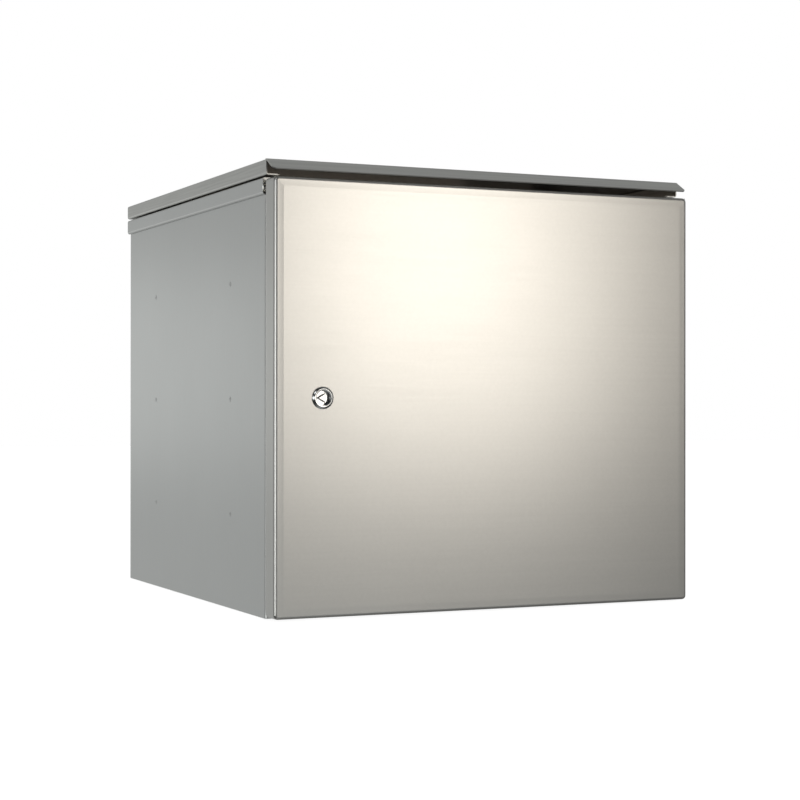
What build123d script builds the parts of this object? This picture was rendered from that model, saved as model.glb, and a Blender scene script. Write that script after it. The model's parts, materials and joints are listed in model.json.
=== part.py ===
"""Stainless outdoor switchboard cabinet with a rain roof and a hinged, locking door.

Millimetres.  +Z is up and the door faces -Y.  The origin is on the ground, under
the middle of the closed cabinet.  Depths are measured back from the door's face.
"""
import os
from math import hypot

from build123d import *

os.makedirs("parts", exist_ok=True)

# ---------------------------------------------------------------- driving sizes
sheet = 1.5  # stainless sheet of the case, the roof and the door
bend = 3.0  # outside radius of a folded edge
seam = 0.2  # slack between sheets that are welded together
slack = 0.05  # radial slack of a running fit
hole_slack = 0.2  # radial slack of a screw in its clearance hole

door_width = 600.0
door_height = 547.5
door_depth = 30.5
door_bend = 4.0
door_corner = 5.5
door_lift = 2.5  # door's lower edge above the ground

case_depth = 640.0  # door's face to the back
body_width = 594.0
body_setback = 39.5  # front of the body behind the door's face
body_return = 30.0  # inward fold along the body's front edges
band_width = 602.0  # top tray and rain roof stand proud of the sides
band_height = 21.0
roof_height = 20.0
roof_gap = 2.0
roof_setback = 27.0
roof_return = 18.0
visor_reach = 24.0
visor_drop = 14.0
visor_corner = 6.0

lock_x = -236.0
lock_proud = 3.2  # lock's head in front of the door's face

# ---------------------------------------------------------------- derived places
face = (lock_proud - case_depth) / 2
back = face + case_depth
body_front = face + body_setback
door_top = door_lift + door_height
mid_height = door_lift + door_height / 2
tray_top = door_top + 2.0
tray_bottom = tray_top - band_height
roof_bottom = tray_top + roof_gap
roof_top = roof_bottom + roof_height
roof_front = face + roof_setback
side_inner = body_width / 2 - sheet


# ---------------------------------------------------------------- shared helpers
def upright(y):
    """Plane across the cabinet at depth y: X and Z on the page, extruding to the door."""
    return Plane.XZ.offset(-y)


def to_door(x, y, z):
    """Plane at a point, square to the door, its normal coming forward."""
    return Plane(origin=(x, y, z), x_dir=(1, 0, 0), z_dir=(0, -1, 0))


def to_back(x, y, z):
    """Plane at a point, square to the door, its normal going back."""
    return Plane(origin=(x, y, z), x_dir=(1, 0, 0), z_dir=(0, 1, 0))


def to_floor(x, y, z):
    """Level plane at a point, its normal going down."""
    return Plane(origin=(x, y, z), x_dir=(1, 0, 0), z_dir=(0, 0, -1))


def to_roof(x, y, z):
    """Level plane at a point, its normal going up."""
    return Plane(origin=(x, y, z), x_dir=(1, 0, 0), z_dir=(0, 0, 1))


def to_side(x, y, z, direction):
    """Plane at a point, square to X, its normal along direction (+1 or -1)."""
    return Plane(origin=(x, y, z), x_dir=(0, 1, 0), z_dir=(direction, 0, 0))


def add_discs(planes, radius, height):
    """Disc or shank on each plane; a negative height grows against the normal."""
    with BuildSketch(*planes) as discs:
        Circle(radius)
    extrude(discs.sketch, amount=height)


def add_rings(planes, outer, inner, height):
    """Washer, spacer or post on each plane, growing along its normal."""
    with BuildSketch(*planes) as rings:
        Circle(outer)
        Circle(inner, mode=Mode.SUBTRACT)
    extrude(rings.sketch, amount=height)


def add_hexagons(planes, across_flats, height, bore):
    """Hexagon nut on each plane, growing along its normal."""
    with BuildSketch(*planes) as nuts:
        RegularPolygon(across_flats / 2, 6, major_radius=False)
        Circle(bore, mode=Mode.SUBTRACT)
    extrude(nuts.sketch, amount=height)


def add_nuts(planes, thread):
    """Standard hexagon nut on each plane, for a thread of that radius."""
    add_hexagons(planes, flats[thread], nut_heights[thread], thread + slack)


def add_screws(planes, thread, length):
    """Round-head screw on each plane: head along the normal, shank against it."""
    head, head_height = round_heads[thread]
    add_discs(planes, head, head_height)
    add_discs(planes, thread, -length)


def add_bolts(planes, thread, length):
    """Hexagon-head bolt on each plane: head along the normal, shank against it."""
    with BuildSketch(*planes) as heads:
        RegularPolygon(flats[thread] / 2, 6, major_radius=False)
    extrude(heads.sketch, amount=hex_head_heights[thread])
    add_discs(planes, thread, -length)


def drill(planes, radius, depth):
    """Round hole on each plane, going against its normal."""
    with BuildSketch(*planes) as holes:
        Circle(radius)
    extrude(holes.sketch, amount=-depth, mode=Mode.SUBTRACT)


# ---------------------------------------------------------------- standard fasteners
# Thread radii, and the sizes that go with each thread.
m4 = 2.0
m5 = 2.5
m6 = 3.0
m8 = 4.0
round_heads = {m4: (3.4, 2.4), m5: (4.75, 2.75), m6: (5.5, 3.3)}  # radius, height
flats = {m5: 8.0, m6: 10.0, m8: 13.0}
hex_head_heights = {m6: 4.0, m8: 5.3}
nut_heights = {m5: 4.0, m6: 5.0, m8: 6.5}
washer = 1.2

# ---------------------------------------------------------------- fastener places
hinge_x = 297.0
hinge_y = face + 34.0
hinge_inset = 95.0  # a hinge's middle from the door's lower or upper edge
hinge_length = 60.0
leaf = 2.0
hinge_screw_x = 281.0
hinge_screw_spread = 36.0
hinge_heights = {
    "lower": door_lift + hinge_inset,
    "upper": door_top - hinge_inset,
}
hinge_screw_planes = [
    to_door(hinge_screw_x, body_front - leaf, z + half * hinge_screw_spread)
    for z in hinge_heights.values()
    for half in (-0.5, 0.5)
]

roof_screw_x = 289.0
roof_screw_depths = (120.0, 340.0, 560.0)
roof_screw_places = [
    (side * roof_screw_x, face + depth)
    for side in (-1, 1)
    for depth in roof_screw_depths
]

# ======================================================================= the body
# Sides and back folded from one sheet, with returns along the front edges.
wall_holes_x = 530.0
wall_holes_z = 400.0
wall_hole = 4.5

with BuildPart() as body_shell:
    with BuildSketch(Plane.XY):
        with Locations((0, (body_front + back) / 2)):
            RectangleRounded(body_width, back - body_front, bend)
            RectangleRounded(
                body_width - 2 * sheet,
                back - body_front - 2 * sheet,
                bend - sheet,
                mode=Mode.SUBTRACT,
            )
        with Locations((0, body_front)):
            Rectangle(body_width - 2 * body_return, 4 * sheet, mode=Mode.SUBTRACT)
    extrude(amount=tray_top - sheet - seam)
    # the returns stop below the top tray's front wall
    with BuildSketch(upright(body_front + sheet + seam)):
        with Locations((0, tray_bottom - seam)):
            Rectangle(2 * body_width, 2 * band_height, align=(Align.CENTER, Align.MIN))
    extrude(amount=body_setback, mode=Mode.SUBTRACT)
    with BuildSketch(upright(back)):
        with Locations((0, mid_height)):
            with GridLocations(wall_holes_x, wall_holes_z, 2, 2):
                Circle(wall_hole)
    extrude(amount=2 * sheet, mode=Mode.SUBTRACT)
    drill(hinge_screw_planes, m5 + hole_slack, leaf + 2 * sheet)

body_shell.part.label = "body_shell"
export_step(body_shell.part, "parts/body_shell.step")

# Top of the body: its walls stand proud of the sides and fold back in under them.
tab_width = (band_width - body_width) / 2 - seam - sheet / 2

with BuildPart() as top_tray:
    with BuildSketch(upright(back)):
        with Locations((0, tray_top - band_height / 2)):
            RectangleRounded(band_width, band_height, bend)
            RectangleRounded(
                band_width - 2 * sheet,
                band_height - 2 * sheet,
                bend - sheet,
                mode=Mode.SUBTRACT,
            )
        with Locations((0, tray_bottom)):
            Rectangle(body_width + 2 * seam, 4 * sheet, mode=Mode.SUBTRACT)
    extrude(amount=back - body_front)
    with BuildSketch(upright(body_front + sheet)):
        with Locations((0, tray_top - band_height / 2)):
            RectangleRounded(band_width, band_height, bend)
    extrude(amount=sheet)
    # tabs close the hollow folds at the back
    with BuildSketch(upright(back)):
        for side in (-1, 1):
            tab_x = side * (body_width / 2 + seam + tab_width / 2)
            with Locations((tab_x, tray_top - band_height / 2)):
                Rectangle(tab_width, band_height - 2 * sheet + seam)
    extrude(amount=sheet)
    drill([to_roof(x, y, tray_top) for x, y in roof_screw_places], m5 + hole_slack, 2 * sheet)

top_tray.part.label = "top_tray"
export_step(top_tray.part, "parts/top_tray.step")

# Recessed bottom: a pan turned upside down, with the cable entry cut in it.
floor_height = 15.5
entry_width = 300.0
entry_depth = 120.0
entry_corner = 6.0
entry_y = face + 340.0
gland_rim = 20.0
gasket_thickness = 2.0
gland_thickness = 2.0
gland_screw_length = 14.0
gland_screw_places = [
    (x, entry_y + side * (entry_depth + gland_rim) / 2)
    for x in (-(entry_width + gland_rim) / 2, 0, (entry_width + gland_rim) / 2)
    for side in (-1, 1)
]
tray_front = body_front + 2 * sheet + seam
tray_back = back - sheet - seam
tray_middle = (tray_front + tray_back) / 2
tray_corner = bend - sheet + seam

with BuildPart() as bottom_tray:
    with BuildSketch(Plane.XY):
        with Locations((0, tray_middle)):
            RectangleRounded(
                2 * (side_inner - seam), tray_back - tray_front, tray_corner + sheet
            )
    extrude(amount=floor_height)
    with BuildSketch(Plane.XY):
        with Locations((0, tray_middle)):
            RectangleRounded(
                2 * (side_inner - seam - sheet),
                tray_back - tray_front - 2 * sheet,
                tray_corner,
            )
    extrude(amount=floor_height - sheet, mode=Mode.SUBTRACT)
    with BuildSketch(Plane.XY.offset(floor_height)):
        with Locations((0, entry_y)):
            RectangleRounded(entry_width, entry_depth, entry_corner)
    extrude(amount=-2 * sheet, mode=Mode.SUBTRACT)
    drill([to_roof(x, y, floor_height) for x, y in gland_screw_places], m6 + hole_slack, 2 * sheet)

bottom_tray.part.label = "bottom_tray"
export_step(bottom_tray.part, "parts/bottom_tray.step")

# Frame round the door opening, with a forward lip that presses into the gasket.
lip_inset = 38.0  # lip inside the door's outline
lip_radius = 8.0
lip_tip = face + 10.0
frame_back = body_front + 2 * sheet
lip_width = door_width - 2 * lip_inset
lip_height = door_height - 2 * lip_inset
frame_width = 2 * (side_inner - bend + sheet - seam)
frame_height = tray_top - sheet - seam

with BuildPart() as front_frame:
    with BuildSketch(upright(frame_back)):
        with Locations((0, frame_height / 2)):
            Rectangle(frame_width, frame_height)
        with Locations((0, mid_height)):
            RectangleRounded(
                lip_width - 2 * sheet, lip_height - 2 * sheet, lip_radius - sheet, mode=Mode.SUBTRACT
            )
    extrude(amount=sheet)
    with BuildSketch(upright(frame_back)):
        with Locations((0, mid_height)):
            RectangleRounded(lip_width, lip_height, lip_radius)
            RectangleRounded(
                lip_width - 2 * sheet, lip_height - 2 * sheet, lip_radius - sheet, mode=Mode.SUBTRACT
            )
    extrude(amount=frame_back - lip_tip)
    drill(hinge_screw_planes, m5 + hole_slack, leaf + 3 * sheet)

front_frame.part.label = "front_frame"
export_step(front_frame.part, "parts/front_frame.step")

# ================================================================== the rain roof
# Channel-shaped cover; its front edge turns down and forward as a drip visor.
slope = hypot(visor_reach, visor_drop)
inward = (sheet * visor_drop / slope, -sheet * visor_reach / slope)
root_shift = sheet * (slope - visor_reach) / visor_drop

with BuildPart() as rain_roof:
    with BuildSketch(upright(back)):
        with Locations((0, roof_bottom + roof_height / 2)):
            RectangleRounded(band_width, roof_height, bend)
            RectangleRounded(
                band_width - 2 * sheet,
                roof_height - 2 * sheet,
                bend - sheet,
                mode=Mode.SUBTRACT,
            )
        with Locations((0, roof_bottom)):
            Rectangle(band_width - 2 * roof_return, 4 * sheet, mode=Mode.SUBTRACT)
    extrude(amount=back - roof_front)
    with BuildSketch(upright(back)):
        with Locations((0, roof_bottom + roof_height / 2)):
            RectangleRounded(band_width, roof_height, bend)
    extrude(amount=sheet)
    with BuildSketch(Plane.XY.offset(roof_bottom)):
        with Locations((0, back - bend)):
            Rectangle(
                band_width - 2 * bend, roof_return - bend, align=(Align.CENTER, Align.MAX)
            )
    extrude(amount=sheet)
    with BuildSketch(Plane.YZ.offset(-band_width / 2)):
        with BuildLine():
            Polyline(
                (roof_front, roof_top),
                (roof_front - visor_reach, roof_top - visor_drop),
                (roof_front - visor_reach + inward[0], roof_top - visor_drop + inward[1]),
                (roof_front + root_shift, roof_top - sheet),
                (roof_front + 2 * sheet, roof_top - sheet),
                (roof_front + 2 * sheet, roof_top),
                close=True,
            )
        make_face()
    extrude(amount=band_width)
    tip_edges = (
        rain_roof.edges()
        .filter_by(lambda edge: abs(edge.length - sheet) < 0.01)
        .group_by(Axis.Y)[0]
    )
    fillet(tip_edges, visor_corner)
    drill([to_roof(x, y, roof_bottom + sheet) for x, y in roof_screw_places], m5 + hole_slack, 2 * sheet)

rain_roof.part.label = "rain_roof"
export_step(rain_roof.part, "parts/rain_roof.step")

# The roof stands on spacers and is held from inside, so no screw shows.
roof_spacer_radius = 6.0
roof_washer_radius = 5.5
roof_screw_length = 12.0
sheet_under = tray_top - sheet

with BuildPart() as roof_spacers:
    spacer_planes = [to_roof(x, y, tray_top) for x, y in roof_screw_places]
    add_rings(spacer_planes, roof_spacer_radius, m5 + slack, roof_gap)

roof_spacers.part.label = "roof_spacers"
export_step(roof_spacers.part, "parts/roof_spacers.step")

with BuildPart() as roof_sealing_washers:
    washer_planes = [to_floor(x, y, sheet_under) for x, y in roof_screw_places]
    add_rings(washer_planes, roof_washer_radius, m5 + slack, washer)

roof_sealing_washers.part.label = "roof_sealing_washers"
export_step(roof_sealing_washers.part, "parts/roof_sealing_washers.step")

with BuildPart() as roof_screws:
    screw_planes = [to_floor(x, y, sheet_under - washer) for x, y in roof_screw_places]
    add_screws(screw_planes, m5, roof_screw_length)

roof_screws.part.label = "roof_screws"
export_step(roof_screws.part, "parts/roof_screws.step")

with BuildPart() as roof_nuts:
    add_nuts([to_roof(x, y, roof_bottom + sheet) for x, y in roof_screw_places], m5)

roof_nuts.part.label = "roof_nuts"
export_step(roof_nuts.part, "parts/roof_nuts.step")

# ================================================================ the cable entry
gland_width = entry_width + 2 * gland_rim
gland_depth = entry_depth + 2 * gland_rim
gasket_top = floor_height - sheet
gland_top = gasket_top - gasket_thickness
gland_underside = gland_top - gland_thickness

with BuildPart() as gland_gasket:
    with BuildSketch(Plane.XY.offset(gland_top)):
        with Locations((0, entry_y)):
            RectangleRounded(gland_width, gland_depth, entry_corner)
            RectangleRounded(entry_width, entry_depth, entry_corner, mode=Mode.SUBTRACT)
    extrude(amount=gasket_thickness)
    drill([to_roof(x, y, gasket_top) for x, y in gland_screw_places], m6 + hole_slack, floor_height)

gland_gasket.part.label = "gland_gasket"
export_step(gland_gasket.part, "parts/gland_gasket.step")

with BuildPart() as gland_plate:
    with BuildSketch(Plane.XY.offset(gland_underside)):
        with Locations((0, entry_y)):
            RectangleRounded(gland_width, gland_depth, entry_corner)
    extrude(amount=gland_thickness)
    drill([to_roof(x, y, gland_top) for x, y in gland_screw_places], m6 + hole_slack, floor_height)

gland_plate.part.label = "gland_plate"
export_step(gland_plate.part, "parts/gland_plate.step")

with BuildPart() as gland_screws:
    screw_planes = [to_floor(x, y, gland_underside) for x, y in gland_screw_places]
    add_screws(screw_planes, m6, gland_screw_length)

gland_screws.part.label = "gland_screws"
export_step(gland_screws.part, "parts/gland_screws.step")

with BuildPart() as gland_nuts:
    add_nuts([to_roof(x, y, floor_height) for x, y in gland_screw_places], m6)

gland_nuts.part.label = "gland_nuts"
export_step(gland_nuts.part, "parts/gland_nuts.step")

# ============================================== rails and mounting plate inside
rail_height = 30.0
rail_depth = 15.0
rail_sheet = 2.0
rail_mouth = 15.0
rail_spread = 300.0  # between the lower and the upper rail
rail_start = face + 80.0
rail_end = face + 600.0
rail_heights = {
    "lower": mid_height - rail_spread / 2,
    "upper": mid_height + rail_spread / 2,
}
sides = {"left": -1, "right": 1}
rail_face = side_inner - rail_depth

for side_name, side in sides.items():
    for level, z in rail_heights.items():
        with BuildPart() as depth_rail:
            with BuildSketch(upright(rail_end)):
                with Locations((side * (side_inner - rail_depth / 2), z)):
                    Rectangle(rail_depth, rail_height)
                    Rectangle(
                        rail_depth - 2 * rail_sheet, rail_height - 2 * rail_sheet, mode=Mode.SUBTRACT
                    )
                with Locations((side * rail_face, z)):
                    Rectangle(3 * rail_sheet, rail_mouth, mode=Mode.SUBTRACT)
            extrude(amount=rail_end - rail_start)
        depth_rail.part.label = f"depth_rail_{side_name}_{level}"
        export_step(depth_rail.part, f"parts/depth_rail_{side_name}_{level}.step")

plate_width = 510.0
plate_height = 455.0
plate_sheet = 2.5
plate_corner = 6.0
plate_front = face + 559.5
plate_back = plate_front + plate_sheet
bracket_sheet = 2.0
bracket_height = 44.0
bracket_reach = 48.0
bracket_length = 36.0
bracket_bolt_setback = 20.0
bracket_bolt_y = plate_back - bracket_bolt_setback
plate_bolt_x = 243.5
thread_end = 1.5  # thread showing past a nut

for side_name, side in sides.items():
    for level, z in rail_heights.items():
        inner_face = side * (rail_face - bracket_sheet)
        with BuildPart() as plate_bracket:
            with BuildSketch(Plane.XY.offset(z - bracket_height / 2)):
                with Locations((side * (rail_face - bracket_sheet / 2), plate_back + bracket_sheet)):
                    Rectangle(bracket_sheet, bracket_length, align=(Align.CENTER, Align.MAX))
                with Locations((side * (rail_face - bracket_reach / 2), plate_back)):
                    Rectangle(bracket_reach, bracket_sheet, align=(Align.CENTER, Align.MIN))
            extrude(amount=bracket_height)
            drill([to_side(inner_face, bracket_bolt_y, z, -side)], m8 + hole_slack, 2 * bracket_sheet)
            drill([to_door(side * plate_bolt_x, plate_back, z)], m8 + hole_slack, 2 * bracket_sheet)
        plate_bracket.part.label = f"plate_bracket_{side_name}_{level}"
        export_step(plate_bracket.part, f"parts/plate_bracket_{side_name}_{level}.step")

bracket_places = [(side, z) for side in sides.values() for z in rail_heights.values()]
nut_depth = 6.0  # channel nut
nut_length = 20.0
nut_play = 2.0  # the channel nut is that much narrower than its channel

with BuildPart() as rail_bolts:
    bolt_planes = [
        to_side(side * (rail_face - bracket_sheet), bracket_bolt_y, z, -side)
        for side, z in bracket_places
    ]
    add_bolts(bolt_planes, m8, bracket_sheet + rail_sheet + nut_depth + thread_end)

rail_bolts.part.label = "rail_bolts"
export_step(rail_bolts.part, "parts/rail_bolts.step")

with BuildPart() as rail_nuts:
    for side, z in bracket_places:
        nut_plane = to_side(side * (rail_face + rail_sheet), bracket_bolt_y, z, side)
        with BuildSketch(nut_plane):
            Rectangle(nut_length, rail_height - 2 * rail_sheet - nut_play)
            Circle(m8 + slack, mode=Mode.SUBTRACT)
        extrude(amount=nut_depth)

rail_nuts.part.label = "rail_nuts"
export_step(rail_nuts.part, "parts/rail_nuts.step")

# Mounting plate with its rails for modular gear and two terminal bars.
din_length = 420.0
din_pitch = 130.0
din_slots = 16
din_slot_pitch = 25.0
din_slot_length = 18.0
din_slot_width = 6.2
din_screw_length = 7.0
din_heights = {
    "lower": mid_height - din_pitch,
    "middle": mid_height,
    "upper": mid_height + din_pitch,
}
din_screw_x = (din_slots - 1) / 2 * din_slot_pitch  # in the end slots
din_screw_places = [(side * din_screw_x, z) for z in din_heights.values() for side in (-1, 1)]

bar_length = 200.0
bar_height = 12.0
bar_thick = 8.0
bar_post = 10.0
bar_drop = 195.0  # bars below the door's middle
bar_end = 8.0  # fixing screw from the bar's end
bar_z = mid_height - bar_drop
bar_middles = {"earth": -120.0, "neutral": 120.0}
bar_fixings = [
    (x + side * (bar_length / 2 - bar_end)) for x in bar_middles.values() for side in (-1, 1)
]
bar_front = plate_front - bar_post - bar_thick

with BuildPart() as mounting_plate:
    with BuildSketch(upright(plate_back)):
        with Locations((0, mid_height)):
            RectangleRounded(plate_width, plate_height, plate_corner)
    extrude(amount=plate_sheet)
    drill(
        [to_door(side * plate_bolt_x, plate_front, z) for side, z in bracket_places],
        m8 + hole_slack,
        2 * plate_sheet,
    )
    drill([to_door(x, plate_front, z) for x, z in din_screw_places], m5 + slack, 2 * plate_sheet)
    drill([to_door(x, plate_front, bar_z) for x in bar_fixings], m5 + slack, 2 * plate_sheet)

mounting_plate.part.label = "mounting_plate"
export_step(mounting_plate.part, "parts/mounting_plate.step")

with BuildPart() as plate_bolts:
    bolt_planes = [to_door(side * plate_bolt_x, plate_front, z) for side, z in bracket_places]
    add_bolts(bolt_planes, m8, plate_sheet + bracket_sheet + nut_heights[m8] + thread_end)

plate_bolts.part.label = "plate_bolts"
export_step(plate_bolts.part, "parts/plate_bolts.step")

with BuildPart() as plate_nuts:
    nut_planes = [
        to_back(side * plate_bolt_x, plate_back + bracket_sheet, z) for side, z in bracket_places
    ]
    add_nuts(nut_planes, m8)

plate_nuts.part.label = "plate_nuts"
export_step(plate_nuts.part, "parts/plate_nuts.step")

# Top-hat rail 35 mm wide and 7.5 mm deep, slotted along its web.
din_width = 35.0
din_depth = 7.5
din_web = 27.0
din_sheet = 1.0

for level, z in din_heights.items():
    with BuildPart() as din_rail:
        with BuildSketch(Plane.YZ.offset(-din_length / 2)):
            with Locations((plate_front, z)):
                Rectangle(din_depth, din_web, align=(Align.MAX, Align.CENTER))
            with Locations((plate_front - din_sheet, z)):
                Rectangle(
                    din_depth, din_web - 2 * din_sheet, align=(Align.MAX, Align.CENTER), mode=Mode.SUBTRACT
                )
            for side in (-1, 1):
                brim = (din_width - din_web) / 2
                with Locations((plate_front - din_depth, z + side * (din_width - brim) / 2)):
                    Rectangle(din_sheet, brim, align=(Align.MIN, Align.CENTER))
        extrude(amount=din_length)
        with BuildSketch(upright(plate_front)):
            with Locations((0, z)):
                with GridLocations(din_slot_pitch, din_web, din_slots, 1):
                    SlotOverall(din_slot_length, din_slot_width)
        extrude(amount=2 * din_sheet, mode=Mode.SUBTRACT)
    din_rail.part.label = f"din_rail_{level}"
    export_step(din_rail.part, f"parts/din_rail_{level}.step")

with BuildPart() as din_rail_screws:
    screw_planes = [to_door(x, plate_front - din_sheet, z) for x, z in din_screw_places]
    add_screws(screw_planes, m5, din_screw_length)

din_rail_screws.part.label = "din_rail_screws"
export_step(din_rail_screws.part, "parts/din_rail_screws.step")

bar_ways = 12
bar_pitch = 14.0
bar_chamfer = 0.6
wire_bore = 2.4
earth_post_radius = 5.5
insulator_radius = 7.0
clamp_screw_length = 2.0
way_places = [(way - (bar_ways - 1) / 2) * bar_pitch for way in range(bar_ways)]

for name, middle in bar_middles.items():
    with BuildPart() as bar:
        with BuildSketch(upright(plate_front - bar_post)):
            with Locations((middle, bar_z)):
                Rectangle(bar_length, bar_height)
        extrude(amount=bar_thick)
        chamfer(bar.edges().filter_by(Axis.X), bar_chamfer)
        wire_y = bar_front + bar_thick / 2
        wire_planes = [to_roof(middle + x, wire_y, bar_z + bar_height / 2) for x in way_places]
        drill(wire_planes, wire_bore, 2 * bar_height)
        drill([to_door(middle + x, bar_front, bar_z) for x in way_places], m4 + slack, bar_thick / 2)
        drill([to_door(x, bar_front, bar_z) for x in bar_fixings], m5 + hole_slack, 2 * bar_thick)
    bar.part.label = f"{name}_bar"
    export_step(bar.part, f"parts/{name}_bar.step")

with BuildPart() as bar_posts:
    post_planes = [to_door(x, plate_front, bar_z) for x in bar_fixings[:2]]
    add_rings(post_planes, earth_post_radius, m5 + slack, bar_post)

bar_posts.part.label = "earth_bar_posts"
export_step(bar_posts.part, "parts/earth_bar_posts.step")

with BuildPart() as bar_insulators:
    post_planes = [to_door(x, plate_front, bar_z) for x in bar_fixings[2:]]
    add_rings(post_planes, insulator_radius, m5 + slack, bar_post)

bar_insulators.part.label = "neutral_bar_insulators"
export_step(bar_insulators.part, "parts/neutral_bar_insulators.step")

with BuildPart() as bar_screws:
    screw_planes = [to_door(x, bar_front, bar_z) for x in bar_fixings]
    add_screws(screw_planes, m5, bar_thick + bar_post + plate_sheet + thread_end)

bar_screws.part.label = "bar_fixing_screws"
export_step(bar_screws.part, "parts/bar_fixing_screws.step")

with BuildPart() as clamp_screws:
    clamp_planes = [
        to_door(middle + x, bar_front, bar_z) for middle in bar_middles.values() for x in way_places
    ]
    add_screws(clamp_planes, m4, clamp_screw_length)

clamp_screws.part.label = "clamp_screws"
export_step(clamp_screws.part, "parts/clamp_screws.step")

# ======================================================================= earthing
body_stud = (-200.0, face + 110.0)
body_stud_length = 26.0
door_stud = (-215.0, door_lift + 60.0)
door_stud_length = 16.0
stud_chamfer = 0.7
stud_washer = 1.6
body_washer_radius = 8.5
door_washer_radius = 6.5

with BuildPart() as body_earth_stud:
    with BuildSketch(Plane.XY.offset(floor_height)):
        with Locations(body_stud):
            Circle(m8)
    extrude(amount=body_stud_length)
    chamfer(body_earth_stud.edges().sort_by(Axis.Z)[-1], stud_chamfer)

body_earth_stud.part.label = "body_earth_stud"
export_step(body_earth_stud.part, "parts/body_earth_stud.step")

with BuildPart() as body_earth_nut:
    add_rings([to_roof(*body_stud, floor_height)], body_washer_radius, m8 + slack, stud_washer)
    add_nuts([to_roof(*body_stud, floor_height + stud_washer)], m8)

body_earth_nut.part.label = "body_earth_nut"
export_step(body_earth_nut.part, "parts/body_earth_nut.step")

# ======================================================================= the door
# Folded and welded pan; the lock's hole is level with its middle.
lock_shank = 11.0

with BuildPart() as door_panel:
    with BuildSketch(upright(face + door_depth)):
        with Locations((0, mid_height)):
            RectangleRounded(door_width, door_height, door_corner)
    extrude(amount=door_depth)
    fillet(door_panel.faces().sort_by(Axis.Y)[0].edges(), door_bend)
    offset(amount=-sheet, openings=door_panel.faces().sort_by(Axis.Y)[-1])
    drill([to_door(lock_x, face, mid_height)], lock_shank + 2 * slack, 4 * sheet)

door_panel.part.label = "door_panel"
export_step(door_panel.part, "parts/door_panel.step")

gasket_width = 14.0
gasket_clearance = 0.3  # the foam is drawn uncompressed
gasket_back = lip_tip - gasket_clearance
gasket_outer_x = lip_width - sheet + gasket_width
gasket_outer_z = lip_height - sheet + gasket_width
gasket_corner = 15.0
gasket_inner_corner = 2.0
gasket_round = 1.2

with BuildPart() as door_gasket:
    with BuildSketch(upright(gasket_back)):
        with Locations((0, mid_height)):
            RectangleRounded(gasket_outer_x, gasket_outer_z, gasket_corner)
            RectangleRounded(
                gasket_outer_x - 2 * gasket_width,
                gasket_outer_z - 2 * gasket_width,
                gasket_inner_corner,
                mode=Mode.SUBTRACT,
            )
    extrude(amount=gasket_back - face - sheet)
    fillet(door_gasket.faces().sort_by(Axis.Y)[-1].edges(), gasket_round)

door_gasket.part.label = "door_gasket"
export_step(door_gasket.part, "parts/door_gasket.step")

# Hat-section stiffeners welded inside the door, with a row of holes each.
stiffener_x = 180.0
stiffener_width = 30.0
stiffener_foot = 10.0
stiffener_depth = 14.5
stiffener_height = 430.0
stiffener_pitch = 25.0
stiffener_holes = 16
stiffener_hole = 4.5

for side_name, side in sides.items():
    with BuildPart() as stiffener:
        with BuildSketch(Plane.XY.offset(mid_height - stiffener_height / 2)):
            with Locations((side * stiffener_x, face + sheet)):
                Rectangle(stiffener_width, stiffener_depth, align=(Align.CENTER, Align.MIN))
                Rectangle(
                    stiffener_width - 2 * sheet,
                    stiffener_depth - sheet,
                    align=(Align.CENTER, Align.MIN),
                    mode=Mode.SUBTRACT,
                )
            for foot in (-1, 1):
                foot_x = side * stiffener_x + foot * (stiffener_width + stiffener_foot) / 2
                with Locations((foot_x, face + sheet)):
                    Rectangle(stiffener_foot + sheet, sheet, align=(Align.CENTER, Align.MIN))
        extrude(amount=stiffener_height)
        with BuildSketch(upright(face + sheet + stiffener_depth)):
            with Locations((side * stiffener_x, mid_height)):
                with GridLocations(stiffener_width, stiffener_pitch, 1, stiffener_holes):
                    Circle(stiffener_hole)
        extrude(amount=2 * sheet, mode=Mode.SUBTRACT)
    stiffener.part.label = f"door_stiffener_{side_name}"
    export_step(stiffener.part, f"parts/door_stiffener_{side_name}.step")

with BuildPart() as door_earth_stud:
    with BuildSketch(to_back(door_stud[0], face + sheet, door_stud[1])):
        Circle(m6)
    extrude(amount=door_stud_length)
    chamfer(door_earth_stud.edges().sort_by(Axis.Y)[-1], stud_chamfer)

door_earth_stud.part.label = "door_earth_stud"
export_step(door_earth_stud.part, "parts/door_earth_stud.step")

with BuildPart() as door_earth_nut:
    washer_planes = [to_back(door_stud[0], face + sheet, door_stud[1])]
    add_rings(washer_planes, door_washer_radius, m6 + slack, stud_washer)
    add_nuts([to_back(door_stud[0], face + sheet + stud_washer, door_stud[1])], m6)

door_earth_nut.part.label = "door_earth_nut"
export_step(door_earth_nut.part, "parts/door_earth_nut.step")

# ===================================================================== the hinges
# Three-knuckle hinges hidden in the slot between the door's edge and the body.
knuckle = 2.9
pin = 1.5
door_knuckle = 19.6
knuckle_slack = 0.3
pin_head = 2.4
pin_head_height = 1.0
door_leaf_front = face + 12.0
door_leaf_back = face + door_depth
body_leaf_inner = 271.0

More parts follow.
